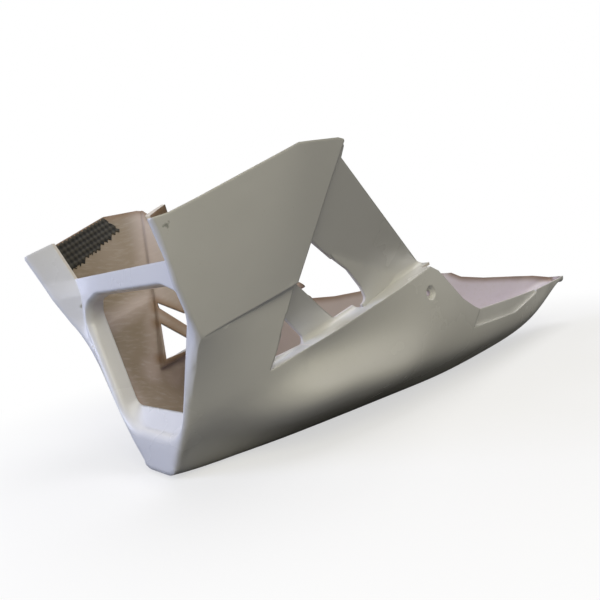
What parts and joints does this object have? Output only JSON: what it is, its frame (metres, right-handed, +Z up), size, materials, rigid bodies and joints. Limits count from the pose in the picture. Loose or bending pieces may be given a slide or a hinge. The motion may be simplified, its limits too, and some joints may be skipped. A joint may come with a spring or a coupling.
{
  "type": "motorcycle belly pan",
  "caption": "One-piece belly pan for a motorcycle: tapering open tub with side blades, front air duct, vent windows, side bolt holes and a carbon patch.",
  "frame": {"origin": "middle of the pan's box, on the plane its keel rests on", "axes": "+X towards the front wheel, +Y to the rider's left, +Z up"},
  "size_m": [0.7596, 0.4096, 0.2784],
  "materials": {
    "gelcoat": "gloss white gelcoat outside, raw tan glassfibre inside",
    "carbon": "woven carbon cloth wetted with resin"
  },
  "bodies": {
    "root": {"pan_shell": "gelcoat", "carbon_patch": "carbon"}
  },
  "joints": []
}
